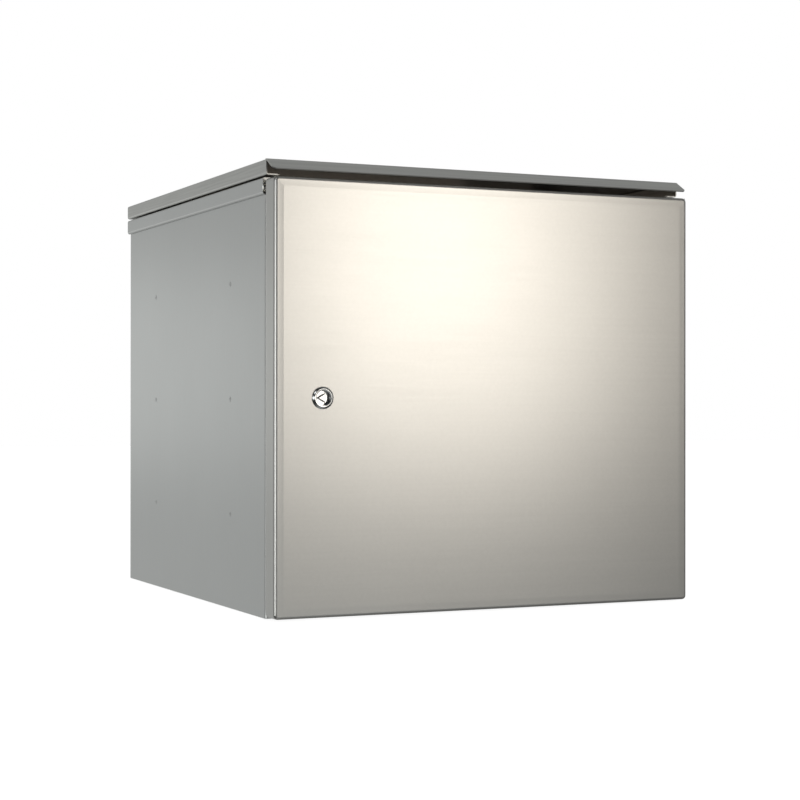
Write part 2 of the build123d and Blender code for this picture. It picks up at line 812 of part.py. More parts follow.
for level, z in hinge_heights.items():
    low = z - hinge_length / 2
    middle_low = z - door_knuckle / 2
    end_knuckle = (hinge_length - door_knuckle) / 2 - knuckle_slack

    with BuildPart() as body_leaf:
        with BuildSketch(Plane.XY.offset(low)):
            with Locations(((body_leaf_inner + hinge_x) / 2, body_front)):
                Rectangle(hinge_x - body_leaf_inner, leaf, align=(Align.CENTER, Align.MAX))
        extrude(amount=hinge_length)
        for start in (low, z + hinge_length / 2 - end_knuckle):
            with BuildSketch(Plane.XY.offset(start)):
                with Locations((hinge_x, hinge_y)):
                    Circle(knuckle)
                    Rectangle(knuckle, body_front - hinge_y, align=(Align.MAX, Align.MIN))
                    Circle(pin + slack, mode=Mode.SUBTRACT)
            extrude(amount=end_knuckle)
        drill(hinge_screw_planes, m5 + hole_slack, 2 * leaf)
    body_leaf.part.label = f"{level}_hinge_body_leaf"
    export_step(body_leaf.part, f"parts/{level}_hinge_body_leaf.step")

    with BuildPart() as door_leaf:
        with BuildSketch(Plane.XY.offset(low)):
            with Locations((hinge_x, door_leaf_front)):
                Rectangle(sheet, door_leaf_back - door_leaf_front, align=(Align.MIN, Align.MIN))
        extrude(amount=hinge_length)
        with BuildSketch(Plane.XY.offset(middle_low)):
            with Locations((hinge_x, hinge_y)):
                Circle(knuckle)
                Rectangle(sheet, hinge_y - door_leaf_back + sheet, align=(Align.MIN, Align.MAX))
                Circle(pin + slack, mode=Mode.SUBTRACT)
        extrude(amount=door_knuckle)
    door_leaf.part.label = f"{level}_hinge_door_leaf"
    export_step(door_leaf.part, f"parts/{level}_hinge_door_leaf.step")

    with BuildPart() as hinge_pin:
        with BuildSketch(Plane.XY.offset(low)):
            with Locations((hinge_x, hinge_y)):
                Circle(pin)
        extrude(amount=hinge_length)
        for end in (to_floor(hinge_x, hinge_y, low), to_roof(hinge_x, hinge_y, low + hinge_length)):
            with BuildSketch(end):
                Circle(pin_head)
            extrude(amount=pin_head_height)
    hinge_pin.part.label = f"{level}_hinge_pin"
    export_step(hinge_pin.part, f"parts/{level}_hinge_pin.step")

hinge_head_height = 2.2  # low heads, to clear the door

with BuildPart() as hinge_screws:
    add_discs(hinge_screw_planes, round_heads[m5][0], hinge_head_height)
    add_discs(hinge_screw_planes, m5, -(leaf + 2 * sheet + sheet + nut_heights[m5] + thread_end))

hinge_screws.part.label = "hinge_screws"
export_step(hinge_screws.part, "parts/hinge_screws.step")

with BuildPart() as hinge_nuts:
    nut_planes = [
        to_back(plane.origin.X, frame_back, plane.origin.Z) for plane in hinge_screw_planes
    ]
    add_nuts(nut_planes, m5)

hinge_nuts.part.label = "hinge_nuts"
export_step(hinge_nuts.part, "parts/hinge_nuts.step")

# ======================================================================= the lock
# Quarter-turn lock for a triangular key.  It is modelled unlocked, cam down.
seal_thickness = 1.0
seal_radius = 13.5
head_radius = 14.0
head_chamfer = 2.0
rim_chamfer = 0.4
recess_radius = 9.4
recess_floor = face + 4.0
floor_slack = 0.1  # between the driver's plate and the recess's floor
housing_back = face + 24.0
driver_front = face + 1.0
driver_shaft = 6.0
cam_front = face + 29.0
cam_thickness = 3.0
cam_back = cam_front + cam_thickness
cam_square = 8.0
cam_width = 14.0
cam_reach = 22.5
key_height = 9.0  # triangle's side to its opposite corner
key_depth = 3.0
lock_nut_flats = 27.0
lock_nut_height = 5.0
cam_hub = 9.0
cam_washer_radius = 7.0
cam_screw_length = 12.0

with BuildPart() as lock_seal:
    add_rings([to_door(lock_x, face, mid_height)], seal_radius, lock_shank + slack, seal_thickness)

lock_seal.part.label = "lock_seal"
export_step(lock_seal.part, "parts/lock_seal.step")

with BuildPart() as lock_housing:
    with BuildSketch(to_door(lock_x, housing_back, mid_height)):
        Circle(lock_shank)
    extrude(amount=housing_back - face + seal_thickness)
    with BuildSketch(to_door(lock_x, face - seal_thickness, mid_height)):
        Circle(head_radius)
    extrude(amount=lock_proud - seal_thickness)
    chamfer(lock_housing.faces().sort_by(Axis.Y)[0].edges(), head_chamfer)
    drill([to_door(lock_x, face - lock_proud, mid_height)], recess_radius, recess_floor - face + lock_proud)
    drill([to_door(lock_x, face, mid_height)], driver_shaft + slack, housing_back - face)
    rim = lock_housing.faces().sort_by(Axis.Y)[0].edges().sort_by(SortBy.RADIUS)[0]
    chamfer(rim, rim_chamfer)

lock_housing.part.label = "lock_housing"
export_step(lock_housing.part, "parts/lock_housing.step")

with BuildPart() as lock_nut:
    nut_planes = [to_back(lock_x, face + sheet, mid_height)]
    add_hexagons(nut_planes, lock_nut_flats, lock_nut_height, lock_shank + slack)

lock_nut.part.label = "lock_nut"
export_step(lock_nut.part, "parts/lock_nut.step")

with BuildPart() as lock_driver:
    with BuildSketch(to_door(lock_x, recess_floor - floor_slack, mid_height)):
        Circle(recess_radius - slack)
    extrude(amount=recess_floor - floor_slack - driver_front)
    with BuildSketch(to_door(lock_x, driver_front, mid_height)):
        RegularPolygon(key_height * 2 / 3, 3, rotation=180)
    extrude(amount=key_depth)
    with BuildSketch(to_door(lock_x, cam_front, mid_height)):
        Circle(driver_shaft)
    extrude(amount=cam_front - recess_floor + floor_slack)
    with BuildSketch(to_door(lock_x, cam_back, mid_height)):
        Rectangle(cam_square, cam_square)
    extrude(amount=cam_thickness)
    drill([to_back(lock_x, cam_back, mid_height)], m6 + slack, cam_screw_length + thread_end)

lock_driver.part.label = "lock_driver"
export_step(lock_driver.part, "parts/lock_driver.step")

with BuildPart() as lock_cam:
    with BuildSketch(to_door(lock_x, cam_back, mid_height)):
        Circle(cam_hub)
        Rectangle(cam_width, cam_reach + cam_hub, align=(Align.CENTER, Align.MAX))
        Circle(cam_reach, mode=Mode.INTERSECT)
        Rectangle(cam_square + 2 * slack, cam_square + 2 * slack, mode=Mode.SUBTRACT)
    extrude(amount=cam_thickness)

lock_cam.part.label = "lock_cam"
export_step(lock_cam.part, "parts/lock_cam.step")

with BuildPart() as cam_washer:
    add_rings([to_back(lock_x, cam_back, mid_height)], cam_washer_radius, m6 + slack, washer)

cam_washer.part.label = "cam_washer"
export_step(cam_washer.part, "parts/cam_washer.step")

with BuildPart() as cam_screw:
    add_bolts([to_back(lock_x, cam_back + washer, mid_height)], m6, cam_screw_length)

cam_screw.part.label = "cam_screw"
export_step(cam_screw.part, "parts/cam_screw.step")

# Angle welded inside the frame's lip; the cam closes behind it.
keeper_sheet = 2.0
keeper_gap = 0.7  # between the keeper and the closed cam
keeper_back = cam_front - keeper_gap
keeper_reach = 13.5
keeper_leg = 16.0
keeper_height = 34.0
lip_inner_x = -(lip_width / 2 - sheet)

with BuildPart() as lock_keeper:
    with BuildSketch(Plane.XY.offset(mid_height - keeper_height / 2)):
        with Locations((lip_inner_x, keeper_back)):
            Rectangle(keeper_sheet, keeper_leg, align=(Align.MIN, Align.MAX))
            Rectangle(keeper_reach, keeper_sheet, align=(Align.MIN, Align.MAX))
    extrude(amount=keeper_height)

lock_keeper.part.label = "lock_keeper"
export_step(lock_keeper.part, "parts/lock_keeper.step")
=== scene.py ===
import json
from math import cos, pi, radians, sin, tan

import bmesh
import bpy
from mathutils import Matrix, Vector


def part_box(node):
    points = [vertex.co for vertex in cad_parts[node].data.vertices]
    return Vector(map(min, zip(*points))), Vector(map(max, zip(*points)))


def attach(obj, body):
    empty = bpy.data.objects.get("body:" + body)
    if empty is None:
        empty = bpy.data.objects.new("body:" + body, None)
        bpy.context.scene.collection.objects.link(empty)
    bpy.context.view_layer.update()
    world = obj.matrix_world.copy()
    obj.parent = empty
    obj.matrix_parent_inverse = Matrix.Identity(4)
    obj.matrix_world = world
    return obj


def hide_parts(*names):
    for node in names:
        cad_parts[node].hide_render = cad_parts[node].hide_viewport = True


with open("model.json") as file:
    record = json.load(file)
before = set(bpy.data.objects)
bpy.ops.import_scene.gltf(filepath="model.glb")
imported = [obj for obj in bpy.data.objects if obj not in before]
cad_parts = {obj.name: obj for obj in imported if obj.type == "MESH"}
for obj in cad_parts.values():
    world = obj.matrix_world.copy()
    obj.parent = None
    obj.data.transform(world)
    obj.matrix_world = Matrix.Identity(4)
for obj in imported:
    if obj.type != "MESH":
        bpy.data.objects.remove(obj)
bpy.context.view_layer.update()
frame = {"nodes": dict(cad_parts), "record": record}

scene = bpy.context.scene
mm = 0.001

# ------------------------------------------------------------------ places from the frame
door_low, door_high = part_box("door_panel")
tray_low, tray_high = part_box("top_tray")
roof_low, roof_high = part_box("rain_roof")
shell_low, shell_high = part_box("body_shell")
door_face = door_low.y
door_middle = (door_low.z + door_high.z) / 2
roof_front = door_face + 27.0 * mm
under_roof_z = (tray_high.z + roof_high.z) / 2
spot_depths = (173.5 * mm, 504.5 * mm)  # behind the door's face
spot_row_drop = 2.5 * mm  # how far the lower row of spots is below its rail's middle

# The door's margin, a strip next to its folds that the press left leaning back a little.
door_margin = 12.0 * mm
margin_lean = 0.042  # slope at the margin's inner edge
margin_easing = 1.8  # slope lost per metre, halved
faint_side = 0.35  # how much of it shows at the right and at the foot

# The thread's pitch for each screw's radius in millimetres.
pitches = {2.0: 0.7 * mm, 2.5: 0.8 * mm, 3.0: 1.0 * mm, 4.0: 1.25 * mm}
chamfer_start = 0.97  # of a hexagon's inner radius, where its 30 degree chamfer begins

# ------------------------------------------------------------------------------- camera
camera_place = Vector((-1.0976, -2.4351, 0.2676))
camera_turn = radians(24.559)  # to the right of straight at the door
camera_tilt = radians(0.152)
camera_roll = radians(-0.037)
focal_length = 82.6  # on a 36 mm sensor


def make_camera():
    data = bpy.data.cameras.new("camera")
    data.lens = focal_length
    data.sensor_width = 36.0
    camera = bpy.data.objects.new("camera", data)
    camera.location = camera_place
    camera.rotation_euler = (pi / 2 + camera_tilt, camera_roll, -camera_turn)
    scene.collection.objects.link(camera)
    scene.camera = camera


# ---------------------------------------------------------------------------- materials
def math_node(tree, operation, *values):
    """Maths on numbers and on other nodes' outputs."""
    node = tree.nodes.new("ShaderNodeMath")
    node.operation = operation
    for socket, value in zip(node.inputs, values):
        if isinstance(value, (int, float)):
            socket.default_value = value
        else:
            tree.links.new(value, socket)
    return node.outputs["Value"]


class Shader:
    """A Principled material with a few ways to vary it over the surface."""

    def __init__(self, name, color, metallic, roughness):
        self.material = bpy.data.materials.new(name)
        self.material.use_nodes = True
        self.tree = self.material.node_tree
        self.surface = self.tree.nodes["Principled BSDF"]
        self.surface.inputs["Metallic"].default_value = metallic
        self.surface.inputs["Base Color"].default_value = (*color, 1)
        self.surface.inputs["Roughness"].default_value = roughness
        self.place = self.tree.nodes.new("ShaderNodeTexCoord").outputs["Object"]

    def link(self, start, end):
        self.tree.links.new(start, end)

    def noise(self, scale, detail=2.0, roughness=0.5):
        """Noise from 0 to 1; scale is in cycles a metre, along X, Y and Z."""
        mapping = self.tree.nodes.new("ShaderNodeMapping")
        mapping.inputs["Scale"].default_value = scale
        noise = self.tree.nodes.new("ShaderNodeTexNoise")
        noise.inputs["Scale"].default_value = 1.0
        noise.inputs["Detail"].default_value = detail
        noise.inputs["Roughness"].default_value = roughness
        self.link(self.place, mapping.inputs["Vector"])
        self.link(mapping.outputs["Vector"], noise.inputs["Vector"])
        return noise.outputs["Fac"]

    def spread(self, value, low, high):
        """value from about 0.3 to 0.7 stretched to run from low to high."""
        node = self.tree.nodes.new("ShaderNodeMapRange")
        node.inputs["From Min"].default_value = 0.3
        node.inputs["From Max"].default_value = 0.7
        node.inputs["To Min"].default_value = low
        node.inputs["To Max"].default_value = high
        self.link(value, node.inputs["Value"])
        return node.outputs["Result"]

    def math(self, operation, first, second):
        return math_node(self.tree, operation, first, second)

    def average(self, first, second):
        return self.math("ADD", *[self.math("MULTIPLY", value, 0.5) for value in (first, second)])

    def tint(self, value, dark, light):
        """Base colour that runs from dark to light with value."""
        mix = self.tree.nodes.new("ShaderNodeMix")
        mix.data_type = "RGBA"
        mix.inputs["A"].default_value = (*dark, 1)
        mix.inputs["B"].default_value = (*light, 1)
        self.link(value, mix.inputs["Factor"])
        self.link(mix.outputs["Result"], self.surface.inputs["Base Color"])

    def rough(self, value):
        self.link(value, self.surface.inputs["Roughness"])

    def bump(self, value, height):
        bump = self.tree.nodes.new("ShaderNodeBump")
        bump.inputs["Distance"].default_value = height
        self.link(value, bump.inputs["Height"])
        self.link(bump.outputs["Normal"], self.surface.inputs["Normal"])


def scaled(color, factor):
    return tuple(min(1.0, channel * factor) for channel in color)


def brushed_steel(
    name, color, roughness, grain, depth=0.2e-6, streak=0.01, mottle=0.012, streaks=None
):
    """Stainless sheet, finely brushed along grain (X, Y or Z), a little mottled and cloudy."""
    clouds = 0.012
    polish = 0.012  # roughness varies by this much each way
    shader = Shader(name, color, 1.0, roughness)
    fine = [14.0 if axis == grain else 900.0 for axis in "XYZ"]
    coarse = streaks or [5.0 if axis == grain else 300.0 for axis in "XYZ"]
    lines = shader.noise(fine, detail=3.0)
    bands = shader.noise(coarse, detail=3.0)
    patches = shader.noise((7.0, 7.0, 7.0), detail=4.0)
    grains = shader.noise((230.0, 230.0, 230.0), detail=2.0)
    tone = 0.5
    for pattern, amount in ((bands, streak), (grains, mottle), (patches, clouds)):
        part = shader.math("MULTIPLY", shader.spread(pattern, -1.0, 1.0), amount)
        tone = shader.math("ADD", part, tone)
    shader.tint(tone, scaled(color, 0.5), scaled(color, 1.5))
    wear = shader.average(lines, bands)
    shader.rough(shader.spread(wear, roughness - polish, roughness + polish))
    shader.bump(lines, depth)
    shader.lines = lines
    return shader


def past_margin(shader, place, half):
    """How far place is outside -half to half, on the plus side only in faint_side's part."""
    strong = shader.math("SUBTRACT", -half, place)
    faint = shader.math("SUBTRACT", shader.math("MULTIPLY", place, faint_side), half * faint_side)
    return shader.math("MAXIMUM", strong, faint)


def door_steel():
    """Door sheet, with its margin.  The margin's height and the brushing share one bump."""
    depth = 0.15e-6
    shader = brushed_steel("door_steel", (0.645, 0.635, 0.615), 0.318, "X", depth=depth)
    split = shader.tree.nodes.new("ShaderNodeSeparateXYZ")
    shader.link(shader.place, split.inputs["Vector"])
    half_width = (door_high.x - door_low.x) / 2 - door_margin
    half_height = (door_high.z - door_low.z) / 2 - door_margin
    level = shader.math("SUBTRACT", split.outputs["Z"], door_middle)
    across = past_margin(shader, split.outputs["X"], half_width)
    upright = past_margin(shader, shader.math("MULTIPLY", level, -1.0), half_height)
    beyond = shader.math("MAXIMUM", shader.math("MAXIMUM", across, upright), 0.0)
    beyond = shader.math("MINIMUM", beyond, door_margin)
    easing = shader.math("MULTIPLY", shader.math("MULTIPLY", beyond, beyond), margin_easing)
    lean = shader.math("SUBTRACT", easing, shader.math("MULTIPLY", beyond, margin_lean))
    shader.bump(shader.math("ADD", lean, shader.math("MULTIPLY", shader.lines, depth)), 1.0)
    return shader.material


def body_steel():
    return brushed_steel("body_steel", (0.690, 0.705, 0.680), 0.33, "Z", mottle=0.006).material


def roof_steel():
    streaks = (5.0, 12.0, 700.0)
    color = (0.600, 0.595, 0.575)
    return brushed_steel("roof_steel", color, 0.30, "X", streak=0.09, streaks=streaks).material


def plain_steel(name, color, roughness, speckle):
    """Turned steel with a fine, even speckle."""
    shader = Shader(name, color, 1.0, roughness)
    grain = shader.noise((speckle, speckle, speckle), detail=3.0)
    shader.tint(shader.spread(grain, 0.0, 1.0), scaled(color, 0.97), scaled(color, 1.03))
    shader.rough(shader.spread(grain, roughness - 0.03, roughness + 0.03))
    shader.bump(grain, 0.15e-6)
    return shader.material


def zinc():
    """Zinc plating: bluish, with patches of crystal that differ a little in shade."""
    color = (0.66, 0.69, 0.72)
    shader = Shader("zinc_plate", color, 1.0, 0.34)
    cells = shader.tree.nodes.new("ShaderNodeTexVoronoi")
    cells.inputs["Scale"].default_value = 90.0
    shader.link(shader.place, cells.inputs["Vector"])
    shade = shader.tree.nodes.new("ShaderNodeSeparateColor")
    shader.link(cells.outputs["Color"], shade.inputs["Color"])
    fine = shader.noise((500.0, 500.0, 500.0))
    tone = shader.average(shade.outputs["Red"], fine)
    shader.tint(tone, scaled(color, 0.86), scaled(color, 1.08))
    shader.rough(shader.spread(fine, 0.28, 0.40))
    shader.bump(fine, 1.5e-6)
    return shader.material


def chrome():
    """Satin chrome on the lock."""
    color = (0.56, 0.565, 0.57)
    shader = Shader("chrome", color, 1.0, 0.13)
    haze = shader.noise((300.0, 300.0, 300.0))
    shader.tint(shader.spread(haze, 0.0, 1.0), scaled(color, 0.97), scaled(color, 1.02))
    shader.rough(shader.spread(haze, 0.11, 0.16))
    return shader.material


def rubber():
    """Foamed seal: black, matt, with fine open pores."""
    color = (0.016, 0.016, 0.017)
    shader = Shader("rubber", color, 0.0, 0.82)
    pores = shader.noise((1400.0, 1400.0, 1400.0), detail=4.0)
    shader.tint(shader.spread(pores, 0.0, 1.0), scaled(color, 0.6), scaled(color, 1.7))
    shader.rough(shader.spread(pores, 0.72, 0.92))
    shader.bump(pores, 60.0e-6)
    return shader.material


def plastic(name, color, roughness):
    shader = Shader(name, color, 0.0, roughness)
    grain = shader.noise((2200.0, 2200.0, 2200.0))
    shader.tint(shader.spread(grain, 0.0, 1.0), scaled(color, 0.9), scaled(color, 1.12))
    shader.rough(shader.spread(grain, roughness - 0.06, roughness + 0.06))
    shader.bump(grain, 12.0e-6)
    return shader.material


def brass():
    color = (0.80, 0.60, 0.29)
    shader = Shader("brass", color, 1.0, 0.30)
    drawn = shader.noise((20.0, 900.0, 900.0), detail=3.0)
    tarnish = shader.noise((60.0, 60.0, 60.0), detail=4.0)
    shader.tint(shader.spread(tarnish, 0.0, 1.0), (0.64, 0.45, 0.20), color)
    shader.rough(shader.spread(drawn, 0.22, 0.38))
    shader.bump(drawn, 1.5e-6)
    return shader.material


def weld_metal():
    """Bright weld with a faint straw and blue heat tint."""
    shader = Shader("weld_metal", (0.93, 0.92, 0.87), 1.0, 0.42)
    heat = shader.noise((420.0, 420.0, 420.0), detail=3.0)
    shader.tint(shader.spread(heat, 0.0, 1.0), (0.86, 0.80, 0.64), (0.96, 0.97, 0.98))
    shader.rough(shader.spread(heat, 0.20, 0.32))
    shader.bump(heat, 3.0e-6)
    return shader.material


materials = {
    "stainless_body": body_steel(),
    "stainless_roof": roof_steel(),
    "stainless_door": door_steel(),
    "hinge_steel": plain_steel("hinge_steel", (0.66, 0.66, 0.65), 0.28, 500.0),
    "fastener_steel": plain_steel("fastener_steel", (0.70, 0.70, 0.69), 0.24, 900.0),
    "zinc_plated_steel": zinc(),
    "lock_chrome": chrome(),
    "black_rubber": rubber(),
    "black_nylon": plastic("black_nylon", (0.022, 0.022, 0.023), 0.5),
    "bar_brass": brass(),
    "blue_insulator": plastic("blue_insulator", (0.02, 0.09, 0.36), 0.42),
}
weld = weld_metal()
slots = {part["node"]: part["material_slot"] for part in frame["record"]["subparts"]}


def finish_cad_nodes():
    """Gives each CAD node its metal, and eases the cut edges of the seen sheets."""
    for name, node in frame["nodes"].items():
        node.data.materials.clear()
        node.data.materials.append(materials[slots[name]])
    for name in ("rain_roof", "top_tray"):
        ease = frame["nodes"][name].modifiers.new("eased_edges", "BEVEL")
        ease.width = 0.35 * mm
        ease.segments = 2
        ease.limit_method = "ANGLE"
        ease.angle_limit = radians(50)
        ease.harden_normals = True


# ------------------------------------------------------------------------ mesh helpers
axes = {
    "+X": Vector((1, 0, 0)),
    "-X": Vector((-1, 0, 0)),
    "+Y": Vector((0, 1, 0)),
    "-Y": Vector((0, -1, 0)),
    "+Z": Vector((0, 0, 1)),
    "-Z": Vector((0, 0, -1)),
}
crease = radians(32)  # edges sharper than this aren't shaded smooth


def solids(node):
    """Lowest and highest corners of each separate solid in a CAD node, at rest."""
    work = bmesh.new()
    work.from_mesh(frame["nodes"][node].data)
    bmesh.ops.remove_doubles(work, verts=work.verts, dist=1e-6)
    left = set(work.verts)
    found = []
    while left:
        wave = [left.pop()]
        group = list(wave)
        while wave:
            vertex = wave.pop()
            for edge in vertex.link_edges:
                other = edge.other_vert(vertex)
                if other in left:
                    left.remove(other)
                    wave.append(other)
                    group.append(other)
        low = Vector(min(v.co[i] for v in group) for i in range(3))
        high = Vector(max(v.co[i] for v in group) for i in range(3))
        found.append((low, high))
    work.free()
    return found


def upward(direction, at):
    """Matrix that stands local +Z along direction, at a point."""
    turn = axes[direction].to_track_quat("Z", "Y").to_matrix().to_4x4()
    return Matrix.Translation(at) @ turn


def finish_piece(work, name, body, slot, material=None, replaced=()):
    """Turns a bmesh into a piece that rides on a body and stands for CAD nodes."""
    bmesh.ops.recalc_face_normals(work, faces=work.faces)
    data = bpy.data.meshes.new(name)
    for face in work.faces:
        face.smooth = True
    for edge in work.edges:
        if len(edge.link_faces) == 2 and edge.calc_face_angle(0.0) > crease:
            edge.smooth = False
    work.to_mesh(data)
    work.free()
    piece = bpy.data.objects.new(name, data)
    scene.collection.objects.link(piece)
    data.materials.append(material or materials[slot])
    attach(piece, body)
    if replaced:
        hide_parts(*replaced)


# A ring is a function from an angle to a radius and a height.
def circle(radius, height):
    return lambda angle: (radius, height)


def hexagon(flats, height):
    """Ring on a hexagon that is flats across."""
    return lambda angle: (flats / 2 / cos((angle + pi / 6) % (pi / 3) - pi / 6), height)


def hexagon_chamfer(flats, height, up=1):
    """Where a 30 degree cone cuts the hexagon: the arcs on a nut's upper or lower corners."""

    def ring(angle):
        radius = hexagon(flats, 0)(angle)[0]
        return radius, height - up * (radius - flats / 2 * chamfer_start) * tan(radians(30))

    return ring


def turned(work, matrix, rings, segments=36, close_start=True, close_end=True, loop=False):
    """Solid made of rings about local Z."""
    made = []
    for ring in rings:
        row = []
        for step in range(segments):
            angle = 2 * pi * step / segments
            radius, height = ring(angle)
            point = Vector((radius * cos(angle), radius * sin(angle), height))
            row.append(work.verts.new(matrix @ point))
        made.append(row)
    pairs = list(zip(made, made[1:]))
    if loop:
        pairs.append((made[-1], made[0]))
    for first, second in pairs:
        for step in range(segments):
            after = (step + 1) % segments
            work.faces.new((first[step], first[after], second[after], second[step]))
    if not loop and close_start:
        work.faces.new(made[0])
    if not loop and close_end:
        work.faces.new(made[-1])


def thread_rings(radius, bottom, top, pitch):
    """Rings of a screw thread from bottom up to top, its crests climbing as a helix."""
    depth = 0.55  # of the pitch
    rings_a_turn = 5
    count = max(2, round((top - bottom) / pitch * rings_a_turn))

    def ring_at(height):
        def ring(angle):
            turn = (height / pitch - angle / (2 * pi)) % 1.0
            fade = min(1.0, (height - bottom) / pitch, (top - height) / pitch)
            return radius - pitch * depth * abs(2 * turn - 1) * max(0.0, fade), height

        return ring

    return [ring_at(bottom + (top - bottom) * step / count) for step in range(count + 1)]


def nut(work, matrix, flats, height, bore):
    face = flats / 2 * chamfer_start
    countersink = 0.3 * mm
    rings = [
        circle(bore, 0),
        circle(bore + 0.12 * (flats / 2 - bore), 0),
        circle(face, 0),
        hexagon_chamfer(flats, 0, up=-1),
        hexagon_chamfer(flats, height),
        circle(face, height),
        circle(bore + countersink, height),
        circle(bore, height - countersink),
    ]
    turned(work, matrix, rings, loop=True)


def washer(work, matrix, outer, inner, height):
    edge = min(0.2 * mm, height / 5)
    rings = [
        circle(inner, 0),
        circle(outer - edge, 0),
        circle(outer, edge),
        circle(outer, height - edge),
        circle(outer - edge, height),
        circle(inner, height),
    ]
    turned(work, matrix, rings, loop=True)


def button_screw(work, matrix, thread, length, head, head_height, pitch):
    """Domed head with a hexagon socket; the head's seat is at height 0."""
    socket = 0.62 * head
    floor = 0.62 * head_height
    rim = 0.25  # of the head's height, below the dome

    def dome_height(angle):
        return head_height * (rim + (1 - rim) * sin(angle))

    steps = [radians(angle) for angle in (0, 15, 30, 44, 56)]
    top = dome_height(steps[-1])
    rings = thread_rings(thread, -length, 0, pitch)
    rings += [circle(head * 0.97, 0), circle(head, 0.08 * head_height)]
    rings += [circle(head * cos(step), dome_height(step)) for step in steps]
    rings += [
        hexagon(socket * 1.06, top),
        hexagon(socket, top - 0.15 * mm),
        hexagon(socket, top - floor),
        circle(0.05 * mm, top - floor - 0.3 * mm),
    ]
    turned(work, matrix, rings)


def hex_bolt(work, matrix, thread, length, flats, head_height, pitch):
    rings = thread_rings(thread, -length, 0, pitch)
    rings += [
        circle(flats / 2 * 0.94, 0),
        hexagon(flats, 0.02 * mm),
        hexagon_chamfer(flats, head_height),
        circle(flats / 2 * 0.9, head_height),
        circle(flats / 2 * 0.55, head_height - 0.05 * mm),
    ]
    turned(work, matrix, rings)


def stud(work, matrix, radius, length, pitch):
    plain_foot = 1.5 * mm
    point = 0.8 * mm
    rings = [circle(radius, 0)]
    rings += thread_rings(radius, plain_foot, length - point, pitch)
    rings += [circle(radius - point, length)]
    turned(work, matrix, rings)


# ------------------------------------------------------------------------- fasteners
def base_of(low, high, direction):
    """Middle of a box's face on the side away from direction, and the box's length along it."""
    centre = (low + high) / 2
    way = axes[direction]
    reach = Vector(abs(part) for part in way).dot(high - low)
    return centre - way * reach / 2, reach


def replace_fasteners(node, direction, make, body):
    """Stands a new fastener in the place of each of a node's solids.  direction is where its
    head or top points: one axis, or one for solids at -X and one for those at +X."""
    work = bmesh.new()
    for low, high in solids(node):
        way = direction if isinstance(direction, str) else direction[low.x >= 0]
        base, reach = base_of(low, high, way)
        make(work, way, base, reach, max(high - low) / 2)
    finish_piece(work, node + "_turned", body, slots[node], replaced=[node])


def make_screws(node, direction, shape, radius, head, head_height, body="cabinet"):
    """Screws or bolts of a radius, head size and head height in millimetres."""

    def make(work, way, base, reach, outer):
        length = reach - head_height * mm
        seat = base + axes[way] * length
        sizes = (radius * mm, length, head * mm, head_height * mm, pitches[radius])
        shape(work, upward(way, seat), *sizes)

    replace_fasteners(node, direction, make, body)


def make_nuts(node, direction, radius, flats, body="cabinet"):
    def make(work, way, base, reach, outer):
        nut(work, upward(way, base), flats * mm, reach, radius * mm)

    replace_fasteners(node, direction, make, body)


def make_rings(node, direction, inner, body="cabinet"):
    """Washers, spacers and posts with eased edges."""

    def make(work, way, base, reach, outer):
        washer(work, upward(way, base), outer, inner * mm, reach)

    replace_fasteners(node, direction, make, body)


def make_fasteners():
    make_screws("roof_screws", "-Z", button_screw, 2.5, 4.75, 2.75)
    make_screws("gland_screws", "-Z", button_screw, 3.0, 5.5, 3.3)
    make_screws("din_rail_screws", "-Y", button_screw, 2.5, 4.75, 2.75)
    make_screws("bar_fixing_screws", "-Y", button_screw, 2.5, 4.75, 2.75)
    make_screws("hinge_screws", "-Y", button_screw, 2.5, 4.75, 2.2)
    make_screws("clamp_screws", "-Y", button_screw, 2.0, 3.4, 2.4)
    make_nuts("roof_nuts", "+Z", 2.5, 8.0)
    make_nuts("gland_nuts", "+Z", 3.0, 10.0)
    make_nuts("plate_nuts", "+Y", 4.0, 13.0)
    make_nuts("hinge_nuts", "+Y", 2.5, 8.0)
    make_nuts("lock_nut", "+Y", 11.0, 27.0, body="door")
    make_screws("plate_bolts", "-Y", hex_bolt, 4.0, 13.0, 5.3)
    make_screws("rail_bolts", ("+X", "-X"), hex_bolt, 4.0, 13.0, 5.3)
    make_screws("cam_screw", "+Y", hex_bolt, 3.0, 10.0, 4.0, body="lock")
    make_rings("roof_spacers", "+Z", 2.55)
    make_rings("roof_sealing_washers", "-Z", 2.55)
    make_rings("cam_washer", "+Y", 3.05, body="lock")
    make_rings("earth_bar_posts", "-Y", 2.55)
    make_rings("neutral_bar_insulators", "-Y", 2.55)


def make_earth_points():
    """Threaded studs, each with its washer and nut."""
    points = (
        ("body_earth_stud", "body_earth_nut", "+Z", 4.0, 8.5, 13.0, "cabinet"),
        ("door_earth_stud", "door_earth_nut", "+Y", 3.0, 6.5, 10.0, "door"),
    )
    washer_height = 1.6 * mm
    for stud_node, nut_node, direction, radius, washer_radius, flats, body in points:
        low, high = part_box(stud_node)
        base, length = base_of(low, high, direction)
        work = bmesh.new()
        stud(work, upward(direction, base), radius * mm, length, pitches[radius])
        finish_piece(work, stud_node + "_threaded", body, slots[stud_node], replaced=[stud_node])
        low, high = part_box(nut_node)
        base, height = base_of(low, high, direction)
        work = bmesh.new()
        washer(work, upward(direction, base), washer_radius * mm, radius * mm, washer_height)
        seat = base + axes[direction] * washer_height
        nut(work, upward(direction, seat), flats * mm, height - washer_height, radius * mm)
        finish_piece(work, nut_node + "_turned", body, slots[nut_node], replaced=[nut_node])


